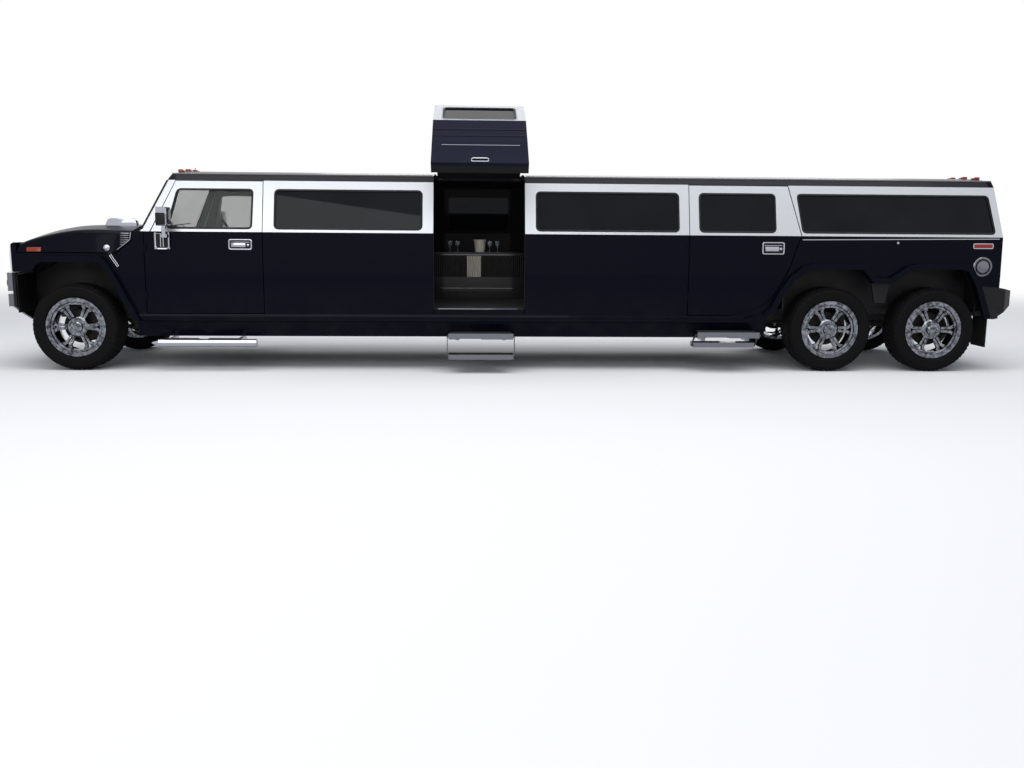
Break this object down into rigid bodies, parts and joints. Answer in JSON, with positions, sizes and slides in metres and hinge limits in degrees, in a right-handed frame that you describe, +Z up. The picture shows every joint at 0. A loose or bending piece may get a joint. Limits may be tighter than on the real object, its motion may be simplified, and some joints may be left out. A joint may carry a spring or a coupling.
{
  "type": "stretch limousine",
  "caption": "Full-size off-roader style stretch limousine on tandem rear axles, with a roof-hinged jet door, hinged doors, hood and tailgate, and rolling, steering wheels.",
  "frame": {"origin": "on the ground under the middle of the whole with the jet door open; the vehicle's centre plane lies 0.246 m towards +Y and the front hubs 4.414 m towards -X", "axes": "+X to the rear along the vehicle, +Y to its right side, +Z up"},
  "size_m": [10.49, 2.8328, 2.7071],
  "materials": {
    "tyre": "matt black tread rubber",
    "wheel_chrome": "polished chrome",
    "steel_black": "satin black chassis paint",
    "body_black": "gloss black with a blue cast",
    "body_two_tone": "gloss black below the belt, silver above",
    "roof_grey": "dark grey gloss paint",
    "cladding": "satin black moulding",
    "bright_trim": "polished chrome",
    "clear_glass": "green tinted glass",
    "dark_glass": "privacy glass",
    "lamp": "clear and coloured lenses",
    "engine": "cast engine and radiator",
    "interior": "dark cabin moulding",
    "leather": "black leather",
    "cabinet": "dark lacquered cabinet",
    "flap": "black rubber"
  },
  "bodies": {
    "root": {"front_suspension": "steel_black", "rear_axles": "steel_black", "chassis_frame": "steel_black", "driveline": "steel_black", "floor_pan": "interior", "wheelhouses": "cladding", "sills": "body_black", "wheel_flares": "body_black", "mudflaps": "flap", "front_wings": "body_black", "nose_grille": "bright_trim", "cowl_frame": "body_two_tone", "roof_panel": "roof_grey", "rear_frame": "body_two_tone", "quarter_panels": "body_two_tone", "side_panels_left": "body_two_tone", "side_panel_right": "body_two_tone", "fixed_glass": "dark_glass", "front_bumper": "cladding", "bumper_plates": "bright_trim", "rear_bumper": "cladding", "lamps": "lamp", "engine_block": "engine", "dashboard": "interior", "front_seats": "leather", "lounge_sofa": "leather", "bar_cabinet": "cabinet", "side_steps": "bright_trim", "step_treads": "bright_trim"},
    "knuckle_left": {"knuckle_left": "steel_black"},
    "wheel_front_left": {"rim_front_left": "wheel_chrome", "tyre_front_left": "tyre"},
    "wheel_mid_left": {"rim_mid_left": "wheel_chrome", "tyre_mid_left": "tyre"},
    "wheel_rear_left": {"rim_rear_left": "wheel_chrome", "tyre_rear_left": "tyre"},
    "front_door_left": {"front_door_left": "body_two_tone", "front_door_glass_left": "clear_glass"},
    "rear_door_left": {"rear_door_left": "body_two_tone", "rear_door_glass_left": "dark_glass"},
    "knuckle_right": {"knuckle_right": "steel_black"},
    "wheel_front_right": {"rim_front_right": "wheel_chrome", "tyre_front_right": "tyre"},
    "wheel_mid_right": {"rim_mid_right": "wheel_chrome", "tyre_mid_right": "tyre"},
    "wheel_rear_right": {"rim_rear_right": "wheel_chrome", "tyre_rear_right": "tyre"},
    "front_door_right": {"front_door_right": "body_two_tone", "front_door_glass_right": "clear_glass"},
    "rear_door_right": {"rear_door_right": "body_two_tone", "rear_door_glass_right": "dark_glass"},
    "hood": {"hood": "body_black"},
    "tailgate": {"tailgate": "body_two_tone", "tailgate_glass": "dark_glass"},
    "jet_door": {"jet_door": "body_two_tone", "jet_door_glass": "dark_glass"},
    "entry_step_cranks": {"entry_step_cranks": "steel_black"},
    "entry_step_tread": {"entry_step_tread": "bright_trim"},
    "rear_step_cranks": {"rear_step_cranks": "steel_black"},
    "rear_step_tread": {"rear_step_tread": "bright_trim"}
  },
  "joints": [
    {"name": "steer_left", "type": "hinge", "parent": "root", "child": "knuckle_left", "pos_m": [-4.414, -0.49861, 0.438], "axis": [0, 0, 1], "range_deg": [-28, 28]},
    {"name": "spin_front_left", "type": "hinge", "parent": "knuckle_left", "child": "wheel_front_left", "pos_m": [-4.414, -0.6236, 0.438], "axis": [0, 1, 0], "continuous": true},
    {"name": "spin_mid_left", "type": "hinge", "parent": "root", "child": "wheel_mid_left", "pos_m": [3.303, -0.6236, 0.438], "axis": [0, 1, 0], "continuous": true},
    {"name": "spin_rear_left", "type": "hinge", "parent": "root", "child": "wheel_rear_left", "pos_m": [4.403, -0.6236, 0.438], "axis": [0, 1, 0], "continuous": true},
    {"name": "front_door_left_hinge", "type": "hinge", "parent": "root", "child": "front_door_left", "pos_m": [-3.71, -0.7286, 1], "axis": [0, 0, -1], "range_deg": [0, 65]},
    {"name": "rear_door_left_hinge", "type": "hinge", "parent": "root", "child": "rear_door_left", "pos_m": [1.808, -0.7286, 1], "axis": [0, 0, -1], "range_deg": [0, 65]},
    {"name": "steer_right", "type": "hinge", "parent": "root", "child": "knuckle_right", "pos_m": [-4.414, 0.9914, 0.438], "axis": [0, 0, 1], "range_deg": [-28, 28]},
    {"name": "spin_front_right", "type": "hinge", "parent": "knuckle_right", "child": "wheel_front_right", "pos_m": [-4.414, 1.1164, 0.438], "axis": [0, 1, 0], "continuous": true},
    {"name": "spin_mid_right", "type": "hinge", "parent": "root", "child": "wheel_mid_right", "pos_m": [3.303, 1.1164, 0.438], "axis": [0, 1, 0], "continuous": true},
    {"name": "spin_rear_right", "type": "hinge", "parent": "root", "child": "wheel_rear_right", "pos_m": [4.403, 1.1164, 0.438], "axis": [0, 1, 0], "continuous": true},
    {"name": "front_door_right_hinge", "type": "hinge", "parent": "root", "child": "front_door_right", "pos_m": [-3.71, 1.2214, 1], "axis": [0, 0, 1], "range_deg": [0, 65]},
    {"name": "rear_door_right_hinge", "type": "hinge", "parent": "root", "child": "rear_door_right", "pos_m": [1.808, 1.2214, 1], "axis": [0, 0, 1], "range_deg": [0, 65]},
    {"name": "hood_hinge", "type": "hinge", "parent": "root", "child": "hood", "pos_m": [-4.968, 0.2464, 1.293], "axis": [0, -1, 0], "range_deg": [0, 60]},
    {"name": "tailgate_hinge", "type": "hinge", "parent": "root", "child": "tailgate", "pos_m": [5.02927, 0.2464, 1.846], "axis": [0, -1, 0], "range_deg": [0, 85]},
    {"name": "jet_door_hinge", "type": "hinge", "parent": "root", "child": "jet_door", "pos_m": [-0.348, 0.3464, 2.042], "axis": [1, 0, 0], "range_deg": [0, 53]},
    {"name": "entry_step_swing", "type": "hinge", "parent": "root", "child": "entry_step_cranks", "pos_m": [-0.3315, -0.8936, 0.367], "axis": [1, 0, 0], "range_deg": [0, 71]},
    {"name": "entry_step_level", "type": "hinge", "parent": "entry_step_cranks", "child": "entry_step_tread", "pos_m": [-0.3315, -0.94666, 0.16898], "axis": [1, 0, 0], "range_deg": [-71, 0]},
    {"name": "rear_step_swing", "type": "hinge", "parent": "root", "child": "rear_step_cranks", "pos_m": [2.2, -0.8936, 0.387], "axis": [-1, 0, 0], "range_deg": [0, 71]},
    {"name": "rear_step_level", "type": "hinge", "parent": "rear_step_cranks", "child": "rear_step_tread", "pos_m": [2.2, -0.72365, 0.27237], "axis": [-1, 0, 0], "range_deg": [-71, 0]}
  ],
  "couplings": [
    {"joint": "steer_right", "follows": "steer_left", "ratio": 1},
    {"joint": "entry_step_level", "follows": "entry_step_swing", "ratio": -1},
    {"joint": "rear_step_level", "follows": "rear_step_swing", "ratio": -1}
  ]
}
